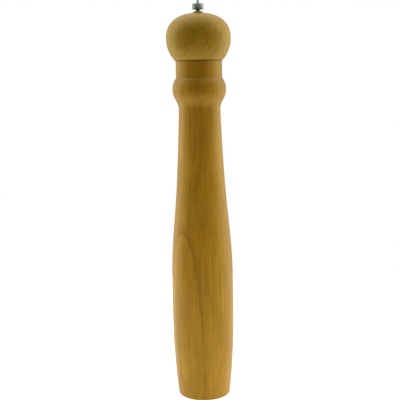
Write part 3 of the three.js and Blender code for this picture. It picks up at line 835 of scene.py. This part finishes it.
def pan_head(head, height, sides):
    """Rings of a domed head from its crown up to its underside at height 0, head down."""
    rings = []
    for k in range(DOME_STEPS + 1):
        angle = DOME_START + (math.pi / 2 - DOME_START) * k / DOME_STEPS
        radius = head * math.sin(angle) ** DOME_POWER
        rise = DOME_SHARE * (1 - math.cos(angle))
        rings.append(circle(radius, height * (rise - 1), sides))
    return rings + [circle(head, -RIM_EDGE, sides), circle(head - RIM_EDGE, 0, sides)]


def slot_cutter(name, bottom, top):
    """A cutter for a straight slot right across a screw's head."""
    reach = SCREW_HEAD_RADIUS + MM
    corners = (
        (-reach, -SCREW_SLOT),
        (reach, -SCREW_SLOT),
        (reach, SCREW_SLOT),
        (-reach, SCREW_SLOT),
    )
    return loft(name, [[Vector((x, y, z)) for x, y in corners] for z in (bottom, top)])


def wood_screw(name, size, length):
    """A pan-headed wood screw with a straight slot, head down, its head's underside at height 0."""
    point = length - SCREW_POINT * size
    rings = [
        *pan_head(SCREW_HEAD_RADIUS, size, SCREW_SIDES),
        circle(size, 0, SCREW_SIDES),
        *thread_rings(size, SCREW_PLAIN, point, SCREW_PITCH, SCREW_SIDES, SCREW_THREAD_DEPTH),
        circle(size * 0.75, point + 0.5 * MM, SCREW_SIDES),
        circle(size * 0.08, length, SCREW_SIDES),
    ]
    slot = slot_cutter(name + "_slot", -size - MM, -size / 2)
    return carved(name, loft(name, rings), [slot])


def add_screws(prefix, count, size, body, turn_step):
    """Slotted screws, head down, each turned a little further than the last."""
    for i in range(count):
        node = f"{prefix}_{i + 1}"
        low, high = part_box(node)
        mesh = wood_screw(node + "_slotted", size, high.z - low.z - size)
        place = Vector((*centre(node).xy, low.z + size))
        moved(mesh, place, turn_step * (i + 0.5))
        add_piece(node + "_slotted", mesh, [screw_zinc], body, "plated_steel", node)


def add_rivets():
    """Domed rivets, head up, that hold the bridge's feet to the stator."""
    for i in (1, 2):
        node = f"bridge_rivet_{i}"
        low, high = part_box(node)
        length = high.z - low.z - RIVET_HEAD_HEIGHT
        rings = [
            *pan_head(RIVET_HEAD_RADIUS, RIVET_HEAD_HEIGHT, RIVET_SIDES),
            circle(RIVET_RADIUS, 0, RIVET_SIDES),
            circle(RIVET_RADIUS, length - RIVET_CHAMFER, RIVET_SIDES),
            circle(RIVET_RADIUS - RIVET_CHAMFER, length, RIVET_SIDES),
        ]
        place = (*centre(node).xy, high.z - RIVET_HEAD_HEIGHT)
        mesh = moved(loft(node + "_domed", rings), place, flip=True)
        add_piece(node + "_domed", mesh, [zinc], "mill_body", "plated_steel", node)


HEXAGON_SIDES = 120
HEXAGON_STEPS = 6
HEXAGON_BORE = 2.2 * MM
HEXAGON_CHAMFER = math.radians(30)
HEXAGON_FACE = 0.15 * MM  # how far inside the flats the chamfer starts


def add_rotor_nut():
    """A hexagon nut whose chamfer leaves curved edges on its flats."""
    low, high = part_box("rotor_nut")
    flats = high.x
    corner = flats / math.cos(math.pi / 6)
    start = flats - HEXAGON_FACE
    edge = 0.2 * MM

    def hexagon(reach, height):
        def radius_at(angle):
            off = (angle + math.pi / 6) % (math.pi / 3) - math.pi / 6
            return min(flats / math.cos(off), reach)

        return polar(radius_at, height, HEXAGON_SIDES)

    def bore(radius, height):
        return circle(radius, height, HEXAGON_SIDES)

    reaches = [start + (corner - start) * k / HEXAGON_STEPS for k in range(HEXAGON_STEPS + 1)]
    rises = [(reach - start) * math.tan(HEXAGON_CHAMFER) for reach in reaches]
    sides = list(zip(reaches, rises))
    rings = [
        bore(HEXAGON_BORE, low.z + edge),
        bore(HEXAGON_BORE + edge, low.z),
        *[hexagon(reach, low.z + rise) for reach, rise in sides],
        *[hexagon(reach, high.z - rise) for reach, rise in reversed(sides)],
        bore(HEXAGON_BORE + edge, high.z),
        bore(HEXAGON_BORE, high.z - edge),
    ]
    mesh = loft("rotor_nut_hexagon", rings, closed=True)
    add_piece("rotor_nut_hexagon", mesh, [screw_zinc], "spindle", "plated_steel", "rotor_nut")


# ---- Plates, washers, bridge and spring ---------------------------------------------------------

DRILL_SIDES = 32
SQUARE_HOLE_SIDES = 48
BASE_HOLE = 13.8 * MM
BASE_SCREW_HOLE = 1.4 * MM
DRIVE_SCREW_HOLE = 1.35 * MM
RIVET_HOLE = 0.9 * MM
BEARING_HOLE = 3.9 * MM
STRAP_THICKNESS = 1.2 * MM
STRAP_LEG = 11.6 * MM  # from the axis to the outside of each leg
INNER_BEND = 0.5 * MM
OUTER_BEND = 1.5 * MM
THRUST_EDGE = 0.12 * MM


def cylinder(name, radius, low, high, sides=STEEL_SIDES):
    """An upright cylinder round the axis."""
    return loft(name, [circle(radius, low, sides), circle(radius, high, sides)])


def drill(name, node, radius, low, high):
    """A cutter for a round hole through which a fastener passes."""
    place = centre(node)
    return moved(cylinder(name, radius, low, high, DRILL_SIDES), (place.x, place.y, 0))


def square_hole(name, low, high):
    """A cutter for the square hole that the spindle's bar passes through."""
    def radius_at(angle):
        return square_radius(SQUARE_HOLE, HOLE_CORNER, angle)

    return loft(name, [polar(radius_at, height, SQUARE_HOLE_SIDES) for height in (low, high)])


def add_base_plate():
    """A ring with three screw holes, stamped from sheet."""
    name = "base_plate_ring"
    low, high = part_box("base_plate")
    below, above = low.z - MM, high.z + MM
    cutters = [cylinder(name, BASE_HOLE, below, above)]
    for i in (1, 2, 3):
        cutters.append(drill(name, f"base_plate_screw_{i}", BASE_SCREW_HOLE, below, above))
    mesh = carved(name, cylinder(name, high.x, low.z, high.z, WOOD_SIDES), cutters, SHEET_EDGE)
    add_piece(name, mesh, [zinc], "mill_body", "plated_steel", "base_plate")


def add_drive_plate():
    """A disc with a square hole for the spindle and two screw holes."""
    name = "drive_plate_disc"
    low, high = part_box("drive_plate")
    below, above = low.z - MM, high.z + MM
    cutters = [square_hole(name, below, above)]
    for i in (1, 2):
        cutters.append(drill(name, f"drive_plate_screw_{i}", DRIVE_SCREW_HOLE, below, above))
    mesh = carved(name, cylinder(name, high.x, low.z, high.z), cutters, SHEET_EDGE)
    add_piece(name, mesh, [zinc], "head", "plated_steel", "drive_plate")


def add_thrust_washer():
    """A thin washer with a square hole, so that it turns with the spindle."""
    name = "thrust_washer_disc"
    low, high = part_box("thrust_washer")
    hole = square_hole(name, low.z - MM, high.z + MM)
    mesh = carved(name, cylinder(name, high.x, low.z, high.z), [hole], THRUST_EDGE)
    add_piece(name, mesh, [zinc], "drive", "plated_steel", "thrust_washer")


def add_rotor_washer():
    """A plain round washer between the rotor and its nut."""
    turned_piece(
        "rotor_washer_ring", section("rotor_washer", 0), [zinc], "spindle", "plated_steel", "rotor_washer",
        STEEL_SIDES, SHEET_EDGE,
    )


def bent(corners, steps=6):
    """A closed outline of right-angled corners, each given with its own radius."""
    points = []
    for i, (corner, radius) in enumerate(corners):
        before = (corners[i - 1][0] - corner).normalized()
        after = (corners[(i + 1) % len(corners)][0] - corner).normalized()
        middle = corner + before * radius + after * radius
        for k in range(steps + 1):
            a = math.pi / 2 * k / steps
            points.append(middle - after * radius * math.cos(a) - before * radius * math.sin(a))
    return points


def add_bridge():
    """A strap bent to a hat, with a bearing hole on top and a rivet in each foot."""
    name = "bridge_strap"
    low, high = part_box("bridge")
    inside = STRAP_LEG - STRAP_THICKNESS
    half = [
        (Vector((inside, high.z - STRAP_THICKNESS)), INNER_BEND),
        (Vector((inside, low.z)), OUTER_BEND),
        (Vector((high.x, low.z)), SHEET_EDGE),
        (Vector((high.x, low.z + STRAP_THICKNESS)), SHEET_EDGE),
        (Vector((STRAP_LEG, low.z + STRAP_THICKNESS)), INNER_BEND),
        (Vector((STRAP_LEG, high.z)), OUTER_BEND),
    ]
    profile = bent(half + [(Vector((-p.x, p.y)), radius) for p, radius in reversed(half)])
    rings = [[Vector((p.x, y, p.y)) for p in profile] for y in (low.y, high.y)]
    cutters = [cylinder(name, BEARING_HOLE, low.z, high.z + MM)]
    for i in (1, 2):
        node = f"bridge_rivet_{i}"
        cutters.append(drill(name, node, RIVET_HOLE, low.z - MM, low.z + 2 * STRAP_THICKNESS))
    mesh = carved(name, loft(name, rings), cutters, SHEET_EDGE)
    add_piece(name, mesh, [zinc], "mill_body", "plated_steel", "bridge")


SPRING_WIRE = 0.4 * MM  # radius
SPRING_TURNS = 4.5
SPRING_CLOSED = 0.8  # turns at each end that lie against the next
SPRING_STEPS = 40  # rings of points in each turn
SPRING_SIDES = 16


def spring_height(turn, span):
    """How far the wire has risen after so many turns, out of its whole rise."""
    closed_pitch = 2 * SPRING_WIRE
    closed_rise = SPRING_CLOSED * closed_pitch
    if turn < SPRING_CLOSED:
        return turn * closed_pitch
    if turn > SPRING_TURNS - SPRING_CLOSED:
        return span - (SPRING_TURNS - turn) * closed_pitch
    open_pitch = (span - 2 * closed_rise) / (SPRING_TURNS - 2 * SPRING_CLOSED)
    return closed_rise + (turn - SPRING_CLOSED) * open_pitch


def add_spring():
    """A wire spring with closed ends."""
    low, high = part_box("spring")
    radius = high.x - SPRING_WIRE
    span = high.z - low.z - 2 * SPRING_WIRE
    around = [2 * math.pi * i / SPRING_SIDES for i in range(SPRING_SIDES)]
    up = Vector((0, 0, 1))
    rings = []
    for k in range(round(SPRING_TURNS * SPRING_STEPS) + 1):
        turn = k / SPRING_STEPS
        out = Vector((math.cos(2 * math.pi * turn), math.sin(2 * math.pi * turn), 0))
        middle = out * radius + up * (low.z + SPRING_WIRE + spring_height(turn, span))
        rings.append([middle + SPRING_WIRE * (out * math.cos(a) + up * math.sin(a)) for a in around])
    mesh = loft("spring_coil", rings)
    obj = add_piece("spring_coil", mesh, [spring_steel], "drive", "spring_steel", "spring")
    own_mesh(obj)


# ---- Stage, light and camera --------------------------------------------------------------------

CAMERA_DISTANCE = 0.784
CAMERA_HEIGHT = 0.3092
CAMERA_SIDE = -0.00128
CAMERA_PITCH = math.radians(7.576)  # looking down
CAMERA_ROLL = math.radians(-1.039)
CAMERA_LENS = 69.154
CAMERA_SENSOR = 36
FLOOR_RADIUS = 0.55
FLOOR_THICKNESS = 2 * MM
FLOOR_GAP = 0.02 * MM  # below the mill's base
FLOOR_GREY = (0.62, 0.62, 0.63, 1)
FLOOR_WHITE = (0.66, 0.66, 0.67, 1)
SIDE_LIGHT = (2.5, 2.56, 2.15, 1)
BACK_LIGHT = (0.42, 0.43, 0.38, 1)
TOP_LIGHT = (1.85, 1.88, 1.8, 1)
FRONT_LIGHT = (0.05, 0.018, 0.004, 1)
FRONT_DIRECTION = (-0.07, -1.0, -0.28)  # towards the middle of the dim room
WHITE = (1.0, 1.0, 1.0, 1)


def add_floor():
    """A round pale floor."""
    nodes, shader, material = new_material("pale_floor", roughness=0.9, ior=1.3, emission_strength=0.8)
    cloud = nodes.noise(nodes.place_mm(), 0.01, 2.0)
    nodes.feed(shader.inputs["Base Color"], nodes.mix(cloud, FLOOR_GREY, FLOOR_WHITE))
    mesh = cylinder("floor", FLOOR_RADIUS, -FLOOR_THICKNESS, -FLOOR_GAP)
    mesh.materials.append(material)
    floor = bpy.data.objects.new("floor", mesh)
    bpy.context.scene.collection.objects.link(floor)


def add_light():
    """A white studio: bright at the sides and above, softer behind, and a dim warm room in front."""
    world = bpy.data.worlds.new("studio")
    world.use_nodes = True
    bpy.context.scene.world = world
    nodes = Nodes(world.node_tree)
    towards = nodes.add("ShaderNodeTexCoord").outputs["Generated"]
    axes = nodes.add("ShaderNodeSeparateXYZ", {0: towards})
    behind = nodes.spread(axes.outputs["Y"], 0.4, 0.95)
    colour = nodes.mix(behind, SIDE_LIGHT, BACK_LIGHT)
    above = nodes.spread(axes.outputs["Z"], 0.5, 0.9)
    colour = nodes.mix(above, colour, TOP_LIGHT)
    front = nodes.vector("DOT_PRODUCT", towards, FRONT_DIRECTION)
    colour = nodes.mix(nodes.spread(front, -0.12, 0.46), colour, FRONT_LIGHT)
    seen = nodes.add("ShaderNodeLightPath").outputs["Is Camera Ray"]
    colour = nodes.mix(seen, colour, WHITE)
    background = world.node_tree.nodes["Background"]
    nodes.feed(background.inputs["Color"], colour)
    background.inputs["Strength"].default_value = 1.0


def add_camera():
    """A camera at the photograph's place, fitted to the mill's outline."""
    data = bpy.data.cameras.new("camera")
    data.lens = CAMERA_LENS
    data.sensor_width = CAMERA_SENSOR
    data.clip_start = 0.01
    camera = bpy.data.objects.new("camera", data)
    camera.location = (CAMERA_SIDE, -CAMERA_DISTANCE, CAMERA_HEIGHT)
    tilt = Quaternion((1, 0, 0), math.pi / 2 - CAMERA_PITCH)
    roll = Quaternion((0, 0, 1), CAMERA_ROLL)
    camera.rotation_mode = "QUATERNION"
    camera.rotation_quaternion = tilt @ roll
    bpy.context.scene.collection.objects.link(camera)
    bpy.context.scene.camera = camera


add_body()
add_head()
add_escutcheon()
add_finial_nut()
add_spindle()
add_stator()
add_rotor()
add_screws("base_plate_screw", 3, BASE_SCREW, "mill_body", turn_step=math.pi / 5)
add_screws("drive_plate_screw", 2, DRIVE_SCREW, "head", turn_step=math.pi / 3)
add_rivets()
add_rotor_nut()
add_base_plate()
add_drive_plate()
add_thrust_washer()
add_rotor_washer()
add_bridge()
add_spring()
add_floor()
add_light()
add_camera()
bpy.context.scene.view_settings.view_transform = "Standard"
